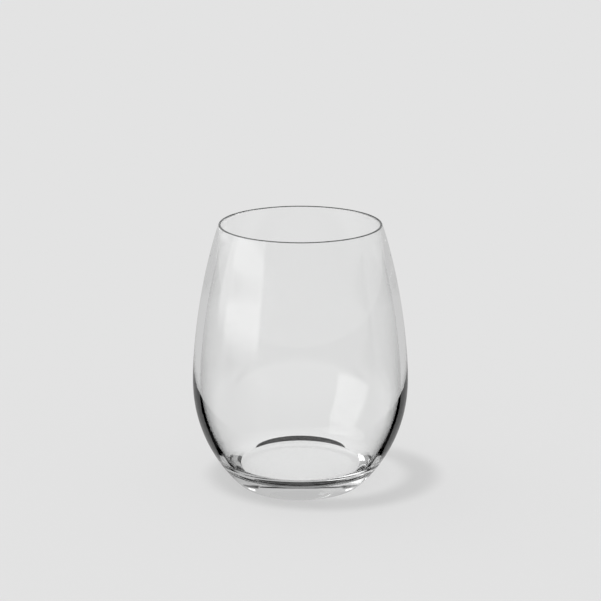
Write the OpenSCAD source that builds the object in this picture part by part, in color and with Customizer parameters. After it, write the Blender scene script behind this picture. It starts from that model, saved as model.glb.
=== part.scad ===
// Stemless wine glass, one piece of clear glass with nothing joined to it.
// Its profile is turned about the upright axis. The origin is the middle of
// the foot, on the table, and +Z points up through the mouth.

/* [Bowl] */
// Height from the table to the top of the lip
glass_h = 110; // [95:0.5:128]
// Outer diameter across the lip
rim_d = 66.7; // [58:0.1:76]
// Outer diameter across the belly, the widest place
belly_d = 89.5; // [80:0.5:100]
// Height of the belly above the table
belly_z = 42.8; // [38:0.2:50]
// Lean of the outer wall at the lip, in degrees from upright
rim_lean = 19.2; // [14:0.2:25]

/* [Wall] */
// Thickness of the lip
lip_t = 1.1; // [0.8:0.05:1.8]
// Thickness of the wall, the same from the base to below the lip
wall_t = 3.3; // [2.4:0.1:4.2]
// Height below the top of the lip over which the wall thins to it
taper_h = 30; // [20:1:45]

/* [Base] */
// Diameter of the flat circle that the glass stands on
foot_d = 52.6; // [46:0.2:58]
// Radius that rounds the foot into the side
heel_r = 0.8; // [0.4:0.1:2]
// Rise of the side where it leaves the heel, in degrees from the table
heel_rise = 35.5; // [30:0.5:42]

/* [Inner floor] */
// Height of the flat inner floor above the table
floor_z = 8.5; // [6:0.25:12]
// Radius that rounds the inner floor into the inner wall
floor_fillet_r = 11; // [6:0.5:15]

/* [Hidden] */

glass_tint = [0.90, 0.93, 0.93, 0.35];

rim_r = rim_d / 2;
belly_r = belly_d / 2;
foot_r = foot_d / 2;
lip_r = lip_t / 2;

// Each outer curve leaves its end along the wall there, and its pull is how
// far it keeps that direction, as a share of the height that the curve climbs
heel_pull_share = 0.012;
belly_low_pull_share = 0.627;
belly_high_pull_share = 0.279;
rim_pull_share = 0.306;

// Straight pieces along each stretch of the profile
wall_steps = 36;
round_steps = 8;
fillet_steps = 16;
turn_steps = 180;

heel_centre = [foot_r, heel_r];
heel_top = heel_centre + heel_r * direction(heel_rise - 90);
belly = [belly_r, belly_z];
lip_centre = [rim_r - lip_r, glass_h - lip_r];
rim = lip_centre + lip_r * direction(rim_lean);
low_climb = belly_z - heel_top[1];
high_climb = rim[1] - belly_z;

// Ends and pulls of the two outer curves, below and above the belly
low_side = [
    heel_top,
    heel_top + heel_pull_share * low_climb * direction(heel_rise),
    belly - [0, belly_low_pull_share * low_climb],
    belly
];
high_side = [
    belly,
    belly + [0, belly_high_pull_share * high_climb],
    rim - rim_pull_share * high_climb * direction(90 + rim_lean),
    rim
];

function direction(angle) = [cos(angle), sin(angle)];

// Points on an arc from one angle to another
function arc(centre, radius, from, to, steps) =
    [for (i = [0:steps]) centre + radius * direction(from + (to - from) * i / steps)];

// Point on a curve at the share t of its way, and the angle it heads in there
function curve_point(side, t) =
    let (u = 1 - t)
    u * u * u * side[0] + 3 * u * u * t * side[1] + 3 * u * t * t * side[2] + t * t * t * side[3];
function curve_heading(side, t) =
    let (
        u = 1 - t,
        step = u * u * (side[1] - side[0]) + 2 * u * t * (side[2] - side[1]) + t * t * (side[3] - side[2])
    )
    atan2(step[1], step[0]);

// Stations up the outer wall between the heel and the lip: point and heading
function stations() =
    concat(
        [for (i = [1:wall_steps]) let (t = i / wall_steps) [curve_point(low_side, t), curve_heading(low_side, t)]],
        [for (i = [1:wall_steps - 1]) let (t = i / wall_steps) [curve_point(high_side, t), curve_heading(high_side, t)]]
    );

// Station moved inwards, square to the outer wall
function inwards(station, depth) = station[0] + depth * direction(station[1] + 90);

// Thickness of the wall at a height: even, then thinning smoothly to the lip
function thickness(z) =
    let (s = min(1, max(0, (glass_h - z) / taper_h)))
    lip_t + (wall_t - lip_t) * s * s * (3 - 2 * s);

// Outer side, from the foot over the belly to the lip
function outer_side() =
    concat(
        [[0, 0]],
        arc(heel_centre, heel_r, -90, heel_rise - 90, round_steps),
        [for (station = stations()) station[0]]
    );

// Fire polished lip, a half round square to the wall
function lip() = arc(lip_centre, lip_r, rim_lean, 180 + rim_lean, round_steps);

// Inner side, from the lip down the wall, round the fillet and in to the axis
function inner_side() =
    let (
        track = [for (station = stations()) inwards(station, wall_t + floor_fillet_r)],
        centre_z = floor_z + floor_fillet_r,
        centre_r = lookup(centre_z, [for (point = track) [point[1], point[0]]]),
        heading = lookup(centre_z, [for (i = [0:len(track) - 1]) [track[i][1], stations()[i][1]]]),
        wall = [for (i = [0:len(track) - 1]) if (track[i][1] > centre_z) stations()[i]]
    )
    concat(
        [for (i = [1:len(wall)]) let (station = wall[len(wall) - i]) inwards(station, thickness(station[0][1]))],
        arc([centre_r, centre_z], floor_fillet_r, heading - 90, -90, fillet_steps),
        [[0, floor_z]]
    );

module glass_body() {
    color(glass_tint)
        rotate_extrude($fn = turn_steps)
            polygon(concat(outer_side(), lip(), inner_side()));
}

glass_body();
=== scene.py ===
"""Clear stemless wine glass on a pale studio floor.

The glass is one turned surface: its profile is worked out from the named
sizes, in metres, and carried round the upright axis, and its lip is darkened
with painted shade. The studio round it is a pale floor, a pale world and a
soft lamp, with panels, a low ring and light and shade painted on the floor,
which only rays mirrored or bent by the glass see and which paint highlights
and shade into it.
"""

from __future__ import annotations

import logging
import math
from dataclasses import dataclass, field
from enum import Enum
from typing import Union

import bpy
import numpy as np
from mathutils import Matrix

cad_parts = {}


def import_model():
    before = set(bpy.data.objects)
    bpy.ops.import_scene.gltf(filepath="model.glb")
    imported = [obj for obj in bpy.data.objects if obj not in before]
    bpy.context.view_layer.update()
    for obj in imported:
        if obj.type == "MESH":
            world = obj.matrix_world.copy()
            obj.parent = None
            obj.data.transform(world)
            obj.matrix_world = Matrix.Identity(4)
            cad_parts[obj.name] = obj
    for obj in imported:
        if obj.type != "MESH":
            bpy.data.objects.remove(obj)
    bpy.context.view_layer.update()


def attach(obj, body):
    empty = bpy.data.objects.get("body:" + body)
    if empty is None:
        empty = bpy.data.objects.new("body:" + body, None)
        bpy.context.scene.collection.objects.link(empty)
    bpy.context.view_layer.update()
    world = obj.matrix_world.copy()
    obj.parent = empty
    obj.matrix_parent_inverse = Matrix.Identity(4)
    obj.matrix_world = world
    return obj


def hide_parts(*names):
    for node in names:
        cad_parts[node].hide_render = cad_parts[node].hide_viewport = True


LOG = logging.getLogger("glass")
MM = 0.001
WHITE = (1, 1, 1, 1)

# The single face of a flat piece with four corners
ONE_FACE = np.array([[0, 1, 2, 3]])

# Rays that run round inside the wall need many bounces before they leave it
BOUNCES = 512

# How often a ray was mirrored or bent is a whole count, so that every limit
# lies between two counts. A ray is bent twice on its way through one wall.
ANY = 0.5
ONE_WALL = 2.5
ONCE = (0.5, 1.5)
TWICE = (1.5, 2.5)
FEW = (0.5, 2.5)
GUIDED = (2.5, 10.5)
OFTEN = (1.5, 14.5)

Pair = tuple[float, float]
Socket = bpy.types.NodeSocket
Value = Union[bpy.types.NodeSocket, float]


class Ray(Enum):
    """What a Light Path node can tell about the ray that sees a surface."""

    CAMERA = "Is Camera Ray"
    TRANSMITTED = "Is Transmission Ray"
    TIMES_MIRRORED = "Glossy Depth"
    TIMES_BENT = "Transmission Depth"


class Sight(Enum):
    """Which mirrored rays see a panel."""

    OUTSIDE = "mirrored once or twice off the outside"
    WITHIN = "mirrored once or twice inside the glass"
    ONCE_WITHIN = "mirrored once inside one wall"
    OFTEN = "mirrored twice or more"


class Blend(Enum):
    """What a Mix node blends: its kind, and its places for two inputs and a result."""

    NUMBER = ("FLOAT", 2, 3, 0)
    COLOUR = ("RGBA", 6, 7, 2)


def heading(angle: float | np.ndarray) -> np.ndarray:
    """Unit vector (radius, height) for an angle in degrees, one row per angle.

    Args:
        angle: One angle or an array of them, counted from outwards to upwards.

    Returns:
        The vector, with the cosine as radius and the sine as height.
    """
    turn = np.radians(angle)
    return np.stack([np.cos(turn), np.sin(turn)], axis=-1)


def arc(centre: np.ndarray, radius: float, start: float, stop: float, steps: int) -> np.ndarray:
    """Points on a circle: the centre plus the radius times each heading.

    Args:
        centre: Middle of the circle as radius and height.
        radius: Radius of the circle.
        start: Angle of the first point in degrees.
        stop: Angle of the last point in degrees.
        steps: Number of equal steps between them.

    Returns:
        An array of steps + 1 points.
    """
    return centre + radius * heading(np.linspace(start, stop, steps + 1))


@dataclass(frozen=True)
class Curve:
    """Cubic curve of the profile, given by its ends and its two pulls."""

    ends: np.ndarray

    def points(self, share: np.ndarray) -> np.ndarray:
        """Points on the curve: the four ends weighed by the cubic Bernstein terms.

        Args:
            share: Shares of the way, from 0 to 1.

        Returns:
            Rows of radius and height.
        """
        t = share[:, None]
        u = 1 - t
        a, b, c, d = self.ends
        return u**3 * a + 3 * u**2 * t * b + 3 * u * t**2 * c + t**3 * d

    def headings(self, share: np.ndarray) -> np.ndarray:
        """Directions of travel: the angle of the curve's first derivative.

        Args:
            share: Shares of the way, from 0 to 1.

        Returns:
            Angles in degrees, counted from outwards to upwards.
        """
        t = share[:, None]
        u = 1 - t
        a, b, c, d = self.ends
        step = u**2 * (b - a) + 2 * u * t * (c - b) + t**2 * (d - c)
        return np.degrees(np.arctan2(step[:, 1], step[:, 0]))


@dataclass(frozen=True)
class NodeBench:
    """Short ways to add the nodes of one node tree."""

    tree: bpy.types.NodeTree

    def add(self, kind: str) -> bpy.types.Node:
        """A new node of a kind."""
        return self.tree.nodes.new(kind)

    def feed(self, value: object, socket: Socket) -> None:
        """Link a socket into another, or write a number or a colour there.

        Args:
            value: The socket, number or colour.
            socket: The input that takes it.
        """
        if isinstance(value, bpy.types.NodeSocket):
            self.tree.links.new(value, socket)
        else:
            socket.default_value = value

    def calc(self, operation: str, *values: Value) -> Socket:
        """Add a Math node.

        Args:
            operation: Blender's name for what it does.
            values: Up to three sockets or numbers that it works on.

        Returns:
            The result.
        """
        node = self.add("ShaderNodeMath")
        node.operation = operation
        for value, socket in zip(values, node.inputs):
            self.feed(value, socket)
        return node.outputs[0]

    def product(self, first: Value, *others: Value) -> Value:
        """Multiply values in turn.

        Args:
            first: A socket or number.
            others: The others.

        Returns:
            The product of them all.
        """
        for other in others:
            first = self.calc("MULTIPLY", first, other)
        return first

    def step(self, value: Value, low: float, high: float) -> Socket:
        """Smooth step of a value.

        Args:
            value: The value.
            low: Where the step leaves 0.
            high: Where it reaches 1; it may be less than low.

        Returns:
            The step, from 0 to 1.
        """
        node = self.add("ShaderNodeMapRange")
        node.interpolation_type = "SMOOTHSTEP"
        self.feed(value, node.inputs["Value"])
        self.feed(low, node.inputs["From Min"])
        self.feed(high, node.inputs["From Max"])
        return node.outputs["Result"]

    def blend(
        self, share: Value, plain: object, other: object, kind: Blend = Blend.NUMBER
    ) -> Socket:
        """Blend two numbers or colours.

        Args:
            share: Share of the other one.
            plain: Result where the share is 0.
            other: Result where the share is 1.
            kind: What the two are.

        Returns:
            The blend.
        """
        data_type, first, second, result = kind.value
        node = self.add("ShaderNodeMix")
        node.data_type = data_type
        self.feed(share, node.inputs["Factor"])
        self.feed(plain, node.inputs[first])
        self.feed(other, node.inputs[second])
        return node.outputs[result]

    def span(self, x: Value, y: Value) -> Socket:
        """Length of the vector (x, y): the root of the sum of its squares."""
        return self.calc("SQRT", self.calc("MULTIPLY_ADD", x, x, self.calc("MULTIPLY", y, y)))

    def offset(self, value: Value, middle: float) -> Socket:
        """Distance of a value from a middle, on either side of it."""
        return self.calc("ABSOLUTE", self.calc("SUBTRACT", value, middle))

    def place(self, kind: str = "Object") -> tuple[Socket, Socket, Socket]:
        """Add a Texture Coordinate node and take one of its outputs apart.

        Args:
            kind: Name of the output.

        Returns:
            Its X, Y and Z.
        """
        apart = self.add("ShaderNodeSeparateXYZ")
        self.feed(self.add("ShaderNodeTexCoord").outputs[kind], apart.inputs[0])
        return tuple(apart.outputs)

    def ray(self, fact: Ray) -> Socket:
        """A fact about the ray, from a Light Path node."""
        return self.add("ShaderNodeLightPath").outputs[fact.value]

    def above(self, count: Ray, limit: float) -> Socket:
        """1 where one of the ray's counts is above a limit."""
        return self.calc("GREATER_THAN", self.ray(count), limit)

    def below(self, count: Ray, limit: float) -> Socket:
        """1 where one of the ray's counts is below a limit."""
        return self.calc("LESS_THAN", self.ray(count), limit)

    def between(self, count: Ray, limits: Pair) -> Socket:
        """1 where one of the ray's counts is between two limits."""
        low, high = limits
        return self.calc("COMPARE", self.ray(count), (low + high) / 2, (high - low) / 2)

    def mirrored(self) -> Socket:
        """1 for a ray that was mirrored at least once on its way."""
        return self.above(Ray.TIMES_MIRRORED, ANY)

    def mirrored_inside(self) -> Socket:
        """1 for a ray that was mirrored and also went through glass."""
        return self.product(self.mirrored(), self.above(Ray.TIMES_BENT, ANY))

    def trapped(self) -> Socket:
        """1 for a ray that ran round and round inside the wall."""
        return self.above(Ray.TIMES_MIRRORED, max(OFTEN))

    def sees(self, sight: Sight) -> Socket:
        """Tell the rays of a sight from all others.

        Args:
            sight: Which mirrored rays are meant.

        Returns:
            1 for those rays and 0 for the others.
        """
        if sight is Sight.OFTEN:
            return self.between(Ray.TIMES_MIRRORED, OFTEN)
        if sight is Sight.ONCE_WITHIN:
            once = self.between(Ray.TIMES_MIRRORED, ONCE)
            return self.product(once, self.between(Ray.TIMES_BENT, TWICE))
        side = self.below if sight is Sight.OUTSIDE else self.above
        return self.product(self.between(Ray.TIMES_MIRRORED, FEW), side(Ray.TIMES_BENT, ANY))

    def surface(self, share: Value, first: bpy.types.Node, second: bpy.types.Node) -> None:
        """End the material with a mix of two shaders.

        Args:
            share: Share of the second shader.
            first: Node of the shader that shows where the share is 0.
            second: Node of the shader that shows where the share is 1.
        """
        chosen = self.add("ShaderNodeMixShader")
        for value, socket in zip((share, first.outputs[0], second.outputs[0]), chosen.inputs):
            self.feed(value, socket)
        self.feed(chosen.outputs[0], self.add("ShaderNodeOutputMaterial").inputs["Surface"])

    def glow(self, level: Value) -> bpy.types.Node:
        """Add an even white glow.

        Args:
            level: Its brightness, where 1 is white.

        Returns:
            The shader's node.
        """
        node = self.add("ShaderNodeEmission")
        self.feed(level, node.inputs["Strength"])
        return node

    def veil(self, cover: Value, level: float) -> None:
        """End the material: a glow at the level where the cover is 1, clear where it is 0."""
        self.surface(cover, self.add("ShaderNodeBsdfTransparent"), self.glow(level))


def blank_material(name: str) -> tuple[bpy.types.Material, NodeBench]:
    """Make a material without nodes.

    Args:
        name: Name of the material.

    Returns:
        The material, and a bench to add its nodes with.
    """
    material = bpy.data.materials.new(name)
    material.use_nodes = True
    material.node_tree.nodes.clear()
    return material, NodeBench(material.node_tree)


def put_on_stage(
    name: str, verts: np.ndarray, faces: np.ndarray, material: bpy.types.Material
) -> bpy.types.Object:
    """Make a piece of the studio.

    Args:
        name: Name of the object and its mesh.
        verts: Rows of x, y and z.
        faces: Rows of four numbers of vertices.
        material: Its only material.

    Returns:
        The new object.
    """
    mesh = bpy.data.meshes.new(name)
    mesh.from_pydata(verts.tolist(), [], faces.tolist())
    mesh.materials.append(material)
    piece = bpy.data.objects.new(name, mesh)
    bpy.context.collection.objects.link(piece)
    return piece


def leave_to_glass(piece: bpy.types.Object) -> bpy.types.Object:
    """Hide a piece of the studio from every ray but those off the glass.

    Args:
        piece: The piece.

    Returns:
        The same piece.
    """
    piece.visible_shadow = False
    piece.visible_diffuse = False
    piece.visible_camera = False
    return piece


@dataclass(frozen=True)
class ClearGlass:
    """Polished clear glass with a ripple too faint to see but in highlights, and painted shade on the
    lip.
    """

    slot: str = "clear_glass"
    tint: tuple[float, ...] = (0.998, 1.0, 0.999, 1)
    # Painted shade: a near-black tint that darkens the top of the lip
    painted_lip_shade: tuple[float, ...] = (0.02, 0.022, 0.022, 1)
    ior: float = 1.5
    ripple_size: float = 20 * MM
    ripple_depth: float = 0.002 * MM

    def material(self, edge: Pair) -> bpy.types.Material:
        """Build the glass: smooth and transmissive, with a faint ripple and painted shade that
        darkens the lip.

        Args:
            edge: Heights between which the tint darkens to the painted shade of the lip.

        Returns:
            The material, whose ripple and painted lip shade follow Object coordinates.
        """
        material = bpy.data.materials.new(self.slot)
        material.use_nodes = True
        bench = NodeBench(material.node_tree)
        shader = material.node_tree.nodes["Principled BSDF"]
        bench.feed(0, shader.inputs["Roughness"])
        bench.feed(self.ior, shader.inputs["IOR"])
        bench.feed(1, shader.inputs["Transmission Weight"])
        ripple = bench.add("ShaderNodeTexNoise")
        bench.feed(bench.add("ShaderNodeTexCoord").outputs["Object"], ripple.inputs["Vector"])
        bench.feed(1 / self.ripple_size, ripple.inputs["Scale"])
        bench.feed(0, ripple.inputs["Detail"])
        bump = bench.add("ShaderNodeBump")
        bench.feed(1, bump.inputs["Strength"])
        bench.feed(self.ripple_depth, bump.inputs["Distance"])
        bench.feed(ripple.outputs["Fac"], bump.inputs["Height"])
        bench.feed(bump.outputs["Normal"], shader.inputs["Normal"])
        _, _, height = bench.place()
        # Painted shade: the tint darkens to near black towards the top of the lip
        tint = bench.blend(bench.step(height, *edge), self.tint, self.painted_lip_shade, Blend.COLOUR)
        # The plain tint stays on the socket for a program that can't follow the blend
        bench.feed(self.tint, shader.inputs["Base Color"])
        bench.feed(tint, shader.inputs["Base Color"])
        return material


@dataclass(frozen=True)
class GlassBody:
    """The glass: its sizes in metres, its profile and its turned mesh.

    The sizes from height to floor fillet and the four pulls are those of the
    part's source. A pull is how far an outer curve keeps its end's direction,
    as a share of the height that the curve climbs.
    """

    node: str = "glass_body"
    height: float = 110 * MM
    rim_radius: float = 33.35 * MM
    belly_radius: float = 44.75 * MM
    belly_height: float = 42.8 * MM
    rim_lean: float = 19.2
    lip_thickness: float = 1.1 * MM
    wall_thickness: float = 3.3 * MM
    taper_height: float = 30 * MM
    foot_radius: float = 26.3 * MM
    heel_radius: float = 0.8 * MM
    heel_rise: float = 35.5
    floor_height: float = 8.5 * MM
    floor_fillet: float = 11 * MM
    heel_pull: float = 0.012
    belly_low_pull: float = 0.627
    belly_high_pull: float = 0.279
    rim_pull: float = 0.306

    # Steps of the mesh; those of the lower curve crowd towards the heel
    wall_steps: int = 56
    round_steps: int = 12
    fillet_steps: int = 32
    turn_steps: int = 360
    heel_crowding: float = 1.5
    flat_shares: tuple[float, ...] = (0.1, 0.3, 0.5, 0.7, 0.85, 0.95, 0.99, 0.998)

    # Painted shade darkens the lip between these shares of the lip's thickness below its top
    lip_shade_shares: Pair = (0.36, 0.22)
    finish: ClearGlass = field(default_factory=ClearGlass)

    @property
    def lip_centre(self) -> np.ndarray:
        """Middle of the rounded lip."""
        round_radius = self.lip_thickness / 2
        return np.array([self.rim_radius - round_radius, self.height - round_radius])

    @property
    def heel_centre(self) -> np.ndarray:
        """Middle of the radius between the foot and the side."""
        return np.array([self.foot_radius, self.heel_radius])

    def stations(self) -> tuple[np.ndarray, np.ndarray]:
        """Points up the outer wall and their headings, between heel and lip.

        Returns:
            The points, and the angle of travel at each in degrees.
        """
        heel_top = self.heel_centre + self.heel_radius * heading(self.heel_rise - 90)
        belly = np.array([self.belly_radius, self.belly_height])
        rim = self.lip_centre + self.lip_thickness / 2 * heading(self.rim_lean)
        low, high = belly[1] - heel_top[1], rim[1] - belly[1]
        up = np.array([0.0, 1.0])
        below = Curve(np.array([
            heel_top,
            heel_top + self.heel_pull * low * heading(self.heel_rise),
            belly - self.belly_low_pull * low * up,
            belly,
        ]))
        above = Curve(np.array([
            belly,
            belly + self.belly_high_pull * high * up,
            rim - self.rim_pull * high * heading(90 + self.rim_lean),
            rim,
        ]))
        share = np.arange(1, self.wall_steps + 1) / self.wall_steps
        early = share**self.heel_crowding
        points = np.vstack([below.points(early), above.points(share[:-1])])
        angles = np.concatenate([below.headings(early), above.headings(share[:-1])])
        return points, angles

    def thickness(self, height: np.ndarray) -> np.ndarray:
        """Wall thickness: even, then thinning by a smooth step of height to the lip's."""
        s = np.clip((self.height - height) / self.taper_height, 0, 1)
        return self.lip_thickness + (self.wall_thickness - self.lip_thickness) * s * s * (3 - 2 * s)

    def flat(self, radius: float, height: float) -> np.ndarray:
        """Points on a level disc, at shares of its radius, without its middle and edge."""
        shares = np.array(self.flat_shares)
        return np.stack([radius * shares, np.full(shares.shape, height)], axis=1)

    def profile(self) -> np.ndarray:
        """The closed section, from the middle of the foot round to the inner floor.

        The inner wall is the outer one moved inwards, square to it, by the
        thickness at each height. A ball of the fillet's radius that touches
        the inner wall and the floor gives the fillet between them.

        Returns:
            Rows of radius and height; the first and last lie on the axis.
        """
        points, angles = self.stations()
        inwards = heading(angles + 90)
        track = points + (self.wall_thickness + self.floor_fillet) * inwards
        ball_height = self.floor_height + self.floor_fillet
        ball = np.array([np.interp(ball_height, track[:, 1], track[:, 0]), ball_height])
        meets = float(np.interp(ball_height, track[:, 1], angles))
        clear = track[:, 1] > ball_height
        inner = (points + self.thickness(points[:, 1])[:, None] * inwards)[clear][::-1]
        lean, steps = self.rim_lean, self.round_steps
        return np.vstack([
            [[0, 0]],
            self.flat(self.foot_radius, 0),
            arc(self.heel_centre, self.heel_radius, -90, self.heel_rise - 90, steps),
            points,
            arc(self.lip_centre, self.lip_thickness / 2, lean, 180 + lean, steps),
            inner,
            arc(ball, self.floor_fillet, meets - 90, -90, self.fillet_steps),
            self.flat(ball[0], self.floor_height)[::-1],
            [[0, self.floor_height]],
        ])

    def mesh(self) -> bpy.types.Mesh:
        """Turn the profile round the axis into a closed mesh.

        A point is (r cos a, r sin a, z), for each profile point (r, z) and
        each angle a of the turn. The two ends are single points with a fan each.

        Returns:
            The smooth mesh, with faces outwards.
        """
        section = self.profile()
        ring = section[1:-1]
        rows, turns = len(ring), self.turn_steps
        turn = np.linspace(0, 2 * np.pi, turns, endpoint=False)
        grid = np.empty((rows, turns, 3))
        grid[..., 0] = ring[:, :1] * np.cos(turn)
        grid[..., 1] = ring[:, :1] * np.sin(turn)
        grid[..., 2] = ring[:, 1:]
        ends = np.array([[0, 0, section[0, 1]], [0, 0, section[-1, 1]]])
        verts = np.vstack([grid.reshape(-1, 3), ends])
        i, j = np.meshgrid(np.arange(rows - 1), np.arange(turns), indexing="ij")
        k = (j + 1) % turns
        low, high = i * turns, (i + 1) * turns
        quads = np.stack([low + j, low + k, high + k, high + j], -1)
        j, k = j[0], k[0]
        foot = np.stack([np.full(turns, rows * turns), k, j], -1)
        last = (rows - 1) * turns
        floor = np.stack([np.full(turns, rows * turns + 1), last + j, last + k], -1)
        mesh = bpy.data.meshes.new(self.node)
        faces = [*quads.reshape(-1, 4).tolist(), *foot.tolist(), *floor.tolist()]
        mesh.from_pydata(verts, [], faces)
        mesh.polygons.foreach_set("use_smooth", np.ones(len(mesh.polygons), dtype=bool))
        # Heights where the painted shade of the lip begins and where it is full
        start, stop = (self.height - share * self.lip_thickness for share in self.lip_shade_shares)
        mesh.materials.append(self.finish.material((start, stop)))
        mesh.update()
        return mesh

    def build(self) -> bpy.types.Object:
        """Make the glass, and let it stand for its CAD node.

        Returns:
            The finished piece, with its origin at the scene's.
        """
        piece = bpy.data.objects.new("glass", self.mesh())
        bpy.context.collection.objects.link(piece)
        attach(piece, "root")
        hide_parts(self.node)
        return piece


@dataclass(frozen=True)
class Levels:
    """Brightness of the studio, where 1 is white."""

    # What the camera sees, what rays bent by the glass see low and high, and the fill
    pale: float = 0.768
    through: float = 0.81
    high: float = 0.52
    fill: float = 0.83

    # What mirrored rays see: the world, the floor far and near from outside, the
    # floor from inside, and the skirt
    surround: float = 0.56
    outer: float = 0.58
    near: float = 0.37
    inner: float = 0.60
    guided: float = 0.04

    # Strength of the lamp
    key: float = 0.55


@dataclass(frozen=True)
class FloorPoint:
    """Sockets for where a ray meets the floor, in metres from the glass's middle.

    X is to the right and Y into the picture. Side is how far the point lies to
    either side, and radius how far it lies from the middle.
    """

    x: Socket
    y: Socket
    side: Socket
    radius: Socket


@dataclass(frozen=True)
class PaleFloor:
    """Floor that is pale for the camera, and light and shade for rays off the glass."""

    # Side of the square, how far it lies under the foot, and its matt colour
    levels: Levels
    size: float = 12.0
    drop: float = 0.02 * MM
    albedo: float = 0.80

    # Share of the floor that the lamp really lights for the camera, with its shadow
    shadow_share: float = 0.15

    # Painted shade that the camera sees: an oval, soft inwards, outwards and at the back
    cast_middle: Pair = (10 * MM, 4 * MM)
    cast_reach: Pair = (43 * MM, 36 * MM)
    cast_inner: Pair = (0.70, 0.93)
    cast_outer: Pair = (1.25, 1.0)
    cast_back: Pair = (60 * MM, 10 * MM)
    cast_share: float = 0.19

    # Painted shade under the foot, seen through one wall, and a painted pool of light in the middle,
    # seen through more
    foot_shade_share: float = 0.37
    painted_light_range: Pair = (52 * MM, 25 * MM)
    painted_light_share: float = 0.15

    # Painted black shade, a crescent between the foot's circle and a circle further back
    heel_shade_start: float = 26.3 * MM
    heel_shade_radius: float = 20.6 * MM
    heel_shade_middle: float = 12.4 * MM

    # For rays mirrored outside: light behind a line that bends back at the sides
    line_edge: float = 1 * MM
    near_range: Pair = (145 * MM, 200 * MM)
    near_start: float = 48.6 * MM
    near_front: float = 1.2 * MM
    near_power: float = 1.34
    near_bend: float = 2.43
    far_slope: float = 0.87
    far_front: float = -41 * MM

    # For rays mirrored inside: light beyond a circle, soft through more than one
    # wall, faded in from the front to the back, and far in front again
    shade_radius: float = 117 * MM
    shade_middle: float = 57 * MM
    shade_edge: float = 1.5 * MM
    soft_range: Pair = (60 * MM, 240 * MM)
    back_range: Pair = (-60 * MM, 0.0)
    front_range: Pair = (-70 * MM, -300 * MM)

    # Light ring round the foot for the same rays, cut off in front and at the back
    ring_radius: float = 39.8 * MM
    ring_half: float = 5.4 * MM
    ring_edge: float = 1.5 * MM
    ring_slope: float = 0.60
    ring_front: float = -29.9 * MM
    ring_back: Pair = (7.5 * MM, 4.5 * MM)

    def behind(self, bench: NodeBench, y: Socket, line: Socket) -> Socket:
        """1 on the floor behind a line, 0 in front of it, softened across the line.

        Args:
            bench: Where the nodes are added.
            y: Depth into the picture.
            line: Depth of the line there.

        Returns:
            The share.
        """
        return bench.step(bench.calc("SUBTRACT", y, line), -self.line_edge, self.line_edge)

    def mirrored_outside(self, bench: NodeBench, at: FloorPoint) -> Socket:
        """Level for rays mirrored outside: 0 in front of a line, and light behind it.

        The line's depth is the lesser of a curve, front + bend * past ** power
        with past the distance beyond its start, and a straight line.

        Args:
            bench: Where the nodes are added.
            at: Where the ray meets the floor.

        Returns:
            The level.
        """
        away = bench.step(at.radius, *self.near_range)
        level = bench.blend(away, self.levels.near, self.levels.outer)
        past = bench.calc("MAXIMUM", bench.calc("SUBTRACT", at.side, self.near_start), 0)
        bend = bench.product(bench.calc("POWER", past, self.near_power), self.near_bend)
        curve = bench.calc("ADD", bend, self.near_front)
        straight = bench.calc("MULTIPLY_ADD", at.side, self.far_slope, self.far_front)
        line = bench.calc("MINIMUM", curve, straight)
        return bench.product(level, self.behind(bench, at.y, line))

    def ring(self, bench: NodeBench, at: FloorPoint) -> Socket:
        """1 on the light ring, and 0 off it and where it is cut off.

        Args:
            bench: Where the nodes are added.
            at: Where the ray meets the floor.

        Returns:
            The share.
        """
        off = bench.offset(at.radius, self.ring_radius)
        band = bench.step(off, self.ring_half, self.ring_half - self.ring_edge)
        front = bench.calc("MULTIPLY_ADD", at.side, self.ring_slope, self.ring_front)
        back = bench.step(at.y, *self.ring_back)
        return bench.product(band, self.behind(bench, at.y, front), back)

    def mirrored_within(self, bench: NodeBench, at: FloorPoint) -> Socket:
        """Level for rays mirrored inside the glass: the far light or the ring.

        Args:
            bench: Where the nodes are added.
            at: Where the ray meets the floor.

        Returns:
            The level.
        """
        away = bench.span(at.x, bench.calc("SUBTRACT", at.y, self.shade_middle))
        start, stop = self.shade_radius - self.shade_edge, self.shade_radius + self.shade_edge
        crisp = bench.step(away, start, stop)
        soft = bench.step(at.radius, *self.soft_range)
        far = bench.blend(bench.below(Ray.TIMES_BENT, ONE_WALL), soft, crisp)
        far = bench.product(far, bench.step(at.y, *self.back_range))
        far = bench.calc("MAXIMUM", far, bench.step(at.y, *self.front_range))
        return bench.product(bench.calc("MAXIMUM", far, self.ring(bench, at)), self.levels.inner)

    def unmirrored(self, bench: NodeBench, under: Socket) -> Socket:
        """Level for rays that were only bent, or that come straight from the camera.

        Args:
            bench: Where the nodes are added.
            under: 1 under the foot.

        Returns:
            The level, with painted shade under the foot for rays through one wall at most.
        """
        plain = bench.blend(bench.ray(Ray.CAMERA), self.levels.through, self.levels.pale)
        # Painted shade under the foot, for rays through one wall at most
        low = bench.product(bench.below(Ray.TIMES_BENT, ONE_WALL), under, self.foot_shade_share)
        return bench.product(plain, bench.calc("SUBTRACT", 1, low))

    def cast(self, bench: NodeBench, at: FloorPoint) -> Socket:
        """What the painted shade leaves of the level, for the camera.

        Args:
            bench: Where the nodes are added.
            at: Where the ray meets the floor.

        Returns:
            The share that is left: 1 away from the shade.
        """
        shares = (
            bench.calc("DIVIDE", bench.calc("SUBTRACT", part, middle), reach)
            for part, middle, reach in zip((at.x, at.y), self.cast_middle, self.cast_reach)
        )
        away = bench.span(*shares)
        oval = bench.product(bench.step(away, *self.cast_inner), bench.step(away, *self.cast_outer))
        shade = bench.product(oval, bench.step(at.y, *self.cast_back), bench.ray(Ray.CAMERA))
        return bench.calc("MULTIPLY_ADD", shade, -self.cast_share, 1)

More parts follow.
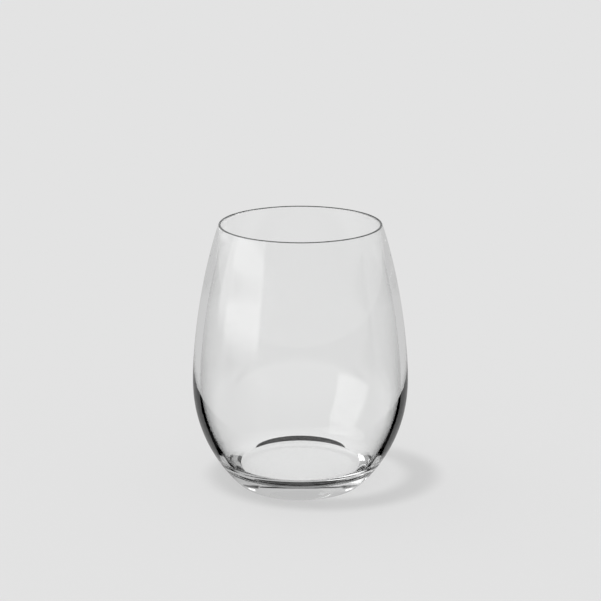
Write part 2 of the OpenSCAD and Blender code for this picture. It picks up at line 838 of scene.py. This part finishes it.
    def clear_of_heel(self, bench: NodeBench, at: FloorPoint, under: Socket) -> Socket:
        """0 on the crescent of painted black shade and 1 off it, and 1 all over for the camera.

        Args:
            bench: Where the nodes are added.
            at: Where the ray meets the floor.
            under: 1 under the foot.

        Returns:
            The share.
        """
        away = bench.span(at.x, bench.calc("SUBTRACT", at.y, self.heel_shade_middle))
        past = bench.calc("GREATER_THAN", away, self.heel_shade_radius)
        return bench.calc("MAXIMUM", bench.calc("MAXIMUM", under, past), bench.ray(Ray.CAMERA))

    def strength(self, bench: NodeBench) -> Socket:
        """Level of the floor's glow for any ray.

        Args:
            bench: Where the nodes are added.

        Returns:
            The level, chosen by how the ray came and where it meets the floor.
        """
        x, y, _ = bench.place()
        at = FloorPoint(x, y, bench.calc("ABSOLUTE", x), bench.span(x, y))
        under = bench.calc("LESS_THAN", at.radius, self.heel_shade_start)
        outside, within = self.mirrored_outside(bench, at), self.mirrored_within(bench, at)
        mirrored = bench.blend(bench.mirrored_inside(), outside, within)
        mirrored = bench.blend(bench.trapped(), mirrored, self.levels.surround)
        level = bench.blend(bench.mirrored(), self.unmirrored(bench, under), mirrored)
        # Painted pool of light in the middle, for rays through more than one wall
        middle = bench.step(at.radius, *self.painted_light_range)
        lit = bench.product(bench.above(Ray.TIMES_BENT, ONE_WALL), middle)
        lighter = bench.calc("MULTIPLY_ADD", lit, self.painted_light_share, 1)
        clear = self.clear_of_heel(bench, at, under)
        return bench.product(level, self.cast(bench, at), lighter, clear)

    def material(self) -> bpy.types.Material:
        """Glow for every ray, with a matt share for the camera that takes the shadow.

        Returns:
            The material, laid out by Object coordinates.
        """
        material, bench = blank_material("pale_floor")
        matt = bench.add("ShaderNodeBsdfDiffuse")
        bench.feed((self.albedo, self.albedo, self.albedo, 1), matt.inputs["Color"])
        share = bench.product(bench.ray(Ray.CAMERA), self.shadow_share)
        bench.surface(share, bench.glow(self.strength(bench)), matt)
        return material

    def build(self) -> bpy.types.Object:
        """Lay the floor as one square, just under the foot.

        Returns:
            The floor.
        """
        half = self.size / 2
        corners = half * np.array([[-1, -1], [1, -1], [1, 1], [-1, 1]])
        verts = np.column_stack([corners, np.full(len(corners), -self.drop)])
        return put_on_stage("floor", verts, ONE_FACE, self.material())


@dataclass(frozen=True)
class Panel:
    """Upright panel with soft edges, which only the rays of its sight see. A glowing panel paints a
    highlight into the glass and a dark one paints a dark reflection, and neither lights anything.

    Beside the glass it stands at an X and spans Y and Z. Behind the glass it
    stands at a Y and spans X and Z.
    """

    name: str
    sight: Sight
    behind: bool
    away: float
    across: Pair
    up: Pair
    level: float
    edge: float

    def material(self) -> bpy.types.Material:
        """Glow within the soft edges, and clear for every other ray.

        Returns:
            The material, laid out by Object coordinates.
        """
        material, bench = blank_material(self.name)
        x, y, z = bench.place()
        cover = bench.sees(self.sight)
        for part, (low, high) in ((x if self.behind else y, self.across), (z, self.up)):
            middle, half = (low + high) / 2, (high - low) / 2
            inside = bench.step(bench.offset(part, middle), half, half - self.edge)
            cover = bench.product(cover, inside)
        bench.veil(cover, self.level)
        return material

    def build(self) -> bpy.types.Object:
        """Hang the panel as one rectangle, from its lower left corner round.

        Returns:
            The panel, which only rays off the glass see.
        """
        (left, right), (low, high) = self.across, self.up
        across, up = np.array([left, right, right, left]), np.array([low, low, high, high])
        away = np.full(len(across), self.away)
        x, y = (across, away) if self.behind else (away, across)
        verts = np.stack([x, y, up], axis=-1)
        return leave_to_glass(put_on_stage(self.name, verts, ONE_FACE, self.material()))


@dataclass(frozen=True)
class Skirt:
    """Low dark ring round the base that paints shade into the base for the rays guided on by it, and
    lights nothing.
    """

    level: float
    name: str = "skirt"
    radius: float = 50 * MM
    height: float = 14 * MM
    steps: int = 95

    def material(self) -> bpy.types.Material:
        """Dark for the guided rays, and clear for every other ray.

        Returns:
            The material, the same all over the ring.
        """
        material, bench = blank_material(self.name)
        bench.veil(bench.between(Ray.TIMES_MIRRORED, GUIDED), self.level)
        return material

    def build(self) -> bpy.types.Object:
        """Stand the ring up on the floor.

        A point is (r cos a, r sin a, z), at the floor and at the ring's height,
        for each angle a of the turn.

        Returns:
            The ring, which only rays off the glass see.
        """
        turn = np.linspace(-np.pi, np.pi, self.steps, endpoint=False)
        ring = self.radius * np.stack([np.cos(turn), np.sin(turn)], axis=-1)
        low, high = (np.column_stack([ring, np.full(self.steps, z)]) for z in (0.0, self.height))
        verts = np.vstack([low, high])
        i = np.arange(self.steps)
        j = (i + 1) % self.steps
        faces = np.stack([i, j, j + self.steps, i + self.steps], axis=-1)
        return leave_to_glass(put_on_stage(self.name, verts, faces, self.material()))


@dataclass(frozen=True)
class StudioWorld:
    """World that is even for the camera and for mirrored rays.

    Rays bent by the glass see it darker above the horizon, from one height of
    their direction to another.
    """

    levels: Levels
    high_range: Pair = (0.05, 0.20)

    def build(self) -> None:
        """Make the world and give it to the scene."""
        world = bpy.data.worlds.new("studio")
        bpy.context.scene.world = world
        world.use_nodes = True
        world.node_tree.nodes.clear()
        bench = NodeBench(world.node_tree)
        _, _, up = bench.place("Generated")
        through = bench.blend(bench.step(up, *self.high_range), self.levels.through, self.levels.high)
        plain = bench.blend(bench.ray(Ray.TRANSMITTED), self.levels.fill, through)
        plain = bench.blend(bench.ray(Ray.CAMERA), plain, self.levels.pale)
        level = bench.blend(bench.mirrored(), plain, self.levels.surround)
        glow = bench.add("ShaderNodeBackground")
        bench.feed(WHITE, glow.inputs["Color"])
        bench.feed(level, glow.inputs["Strength"])
        bench.feed(glow.outputs[0], bench.add("ShaderNodeOutputWorld").inputs["Surface"])


@dataclass(frozen=True)
class KeyLamp:
    """Wide soft lamp, far away, that gives the shadow its side; angles in degrees."""

    level: float
    turn: float = -115
    height: float = 48
    softness: float = 50

    def build(self) -> bpy.types.Object:
        """Turn the lamp to the glass, and keep it out of mirrored rays.

        Returns:
            The lamp, which lights the floor evenly.
        """
        lamp = bpy.data.lights.new("key", "SUN")
        lamp.energy = self.level
        lamp.angle = math.radians(self.softness)
        lamp.specular_factor = 0
        key = bpy.data.objects.new("key", lamp)
        key.rotation_euler = (math.radians(90 - self.height), 0, math.radians(self.turn))
        bpy.context.collection.objects.link(key)
        return key


@dataclass(frozen=True)
class Studio:
    """The stage round the glass: floor, panels, skirt, world and lamp."""

    levels: Levels = field(default_factory=Levels)

    # Glowing panels paint highlights into the glass and dark ones paint dark reflections
    # Name, sight, behind, away, across, up, level and edge of each
    panels: tuple[Panel, ...] = (
        Panel("window", Sight.OUTSIDE, False, -0.45, (-0.50, 0.13), (0.02, 0.30), 1.8, 0.06),
        Panel("window_within", Sight.WITHIN, False, -0.451, (-0.44, 0.055), (-0.01, 0.50), 1.9, 0.05),
        Panel("flag", Sight.OFTEN, False, 0.45, (-0.15, 0.35), (-0.05, 0.16), 0, 0.05),
        Panel("streak", Sight.OFTEN, False, -0.449, (-0.04, 0.16), (0.0, 0.20), 2.6, 0.03),
        Panel("bar", Sight.ONCE_WITHIN, True, 0.9, (-0.66, 0.66), (0.366, 0.414), 0, 0.008),
        Panel("bar_end_left", Sight.ONCE_WITHIN, True, 0.9, (-0.80, -0.38), (0.30, 0.47), 0, 0.05),
        Panel("bar_end_right", Sight.ONCE_WITHIN, True, 0.9, (0.38, 0.80), (0.30, 0.47), 0, 0.05),
        Panel("spot_left", Sight.ONCE_WITHIN, True, 0.9, (-0.62, -0.44), (0.19, 0.30), 1.7, 0.03),
        Panel("spot_right", Sight.ONCE_WITHIN, True, 0.9, (0.44, 0.62), (0.19, 0.30), 1.7, 0.03),
    )

    def build(self) -> list[bpy.types.Object]:
        """Lay the floor, hang the panels and the skirt, and light the studio.

        Returns:
            The pieces of the stage and the lamp.
        """
        pieces = [PaleFloor(self.levels).build()]
        pieces += [panel.build() for panel in self.panels]
        pieces.append(Skirt(self.levels.guided).build())
        StudioWorld(self.levels).build()
        pieces.append(KeyLamp(self.levels.key).build())
        return pieces


@dataclass(frozen=True)
class PhotoCamera:
    """Camera at the photograph's viewing angle.

    Distance, height and the far clip are in metres, the pitch in radians, and
    the focal length, the frame's width and the glass's axis in pixels.
    """

    distance: float = 655 * MM
    height: float = 261.475 * MM
    pitch: float = 0.274
    focal: float = 1653.565
    frame: float = 601
    axis: float = 300.4
    sensor: float = 36
    clip_end: float = 100

    def place(self) -> bpy.types.Object:
        """Put the camera in front of the glass, tilted down at it.

        Returns:
            The camera, which is also set as the scene's.
        """
        data = bpy.data.cameras.new("camera")
        data.sensor_width = self.sensor
        data.lens = self.focal / self.frame * self.sensor
        data.shift_x = (self.frame / 2 - self.axis) / self.frame
        data.clip_end = self.clip_end
        camera = bpy.data.objects.new("camera", data)
        camera.location = (0, -self.distance, self.height)
        camera.rotation_euler = (math.pi / 2 - self.pitch, 0, 0)
        bpy.context.collection.objects.link(camera)
        bpy.context.scene.camera = camera
        return camera


def main() -> None:
    """Load the frame, and build the glass, its studio and its camera."""
    logging.basicConfig(level=logging.INFO, format="%(name)s: %(message)s")
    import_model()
    piece = GlassBody().build()
    LOG.info("%s: %d faces", piece.name, len(piece.data.polygons))
    for staged in Studio().build():
        LOG.info("%s: in place", staged.name)
    PhotoCamera().place()
    bpy.context.scene.view_settings.view_transform = "Standard"
    cycles = bpy.context.scene.cycles
    cycles.max_bounces = cycles.glossy_bounces = cycles.transmission_bounces = BOUNCES


if __name__ == "__main__":
    main()
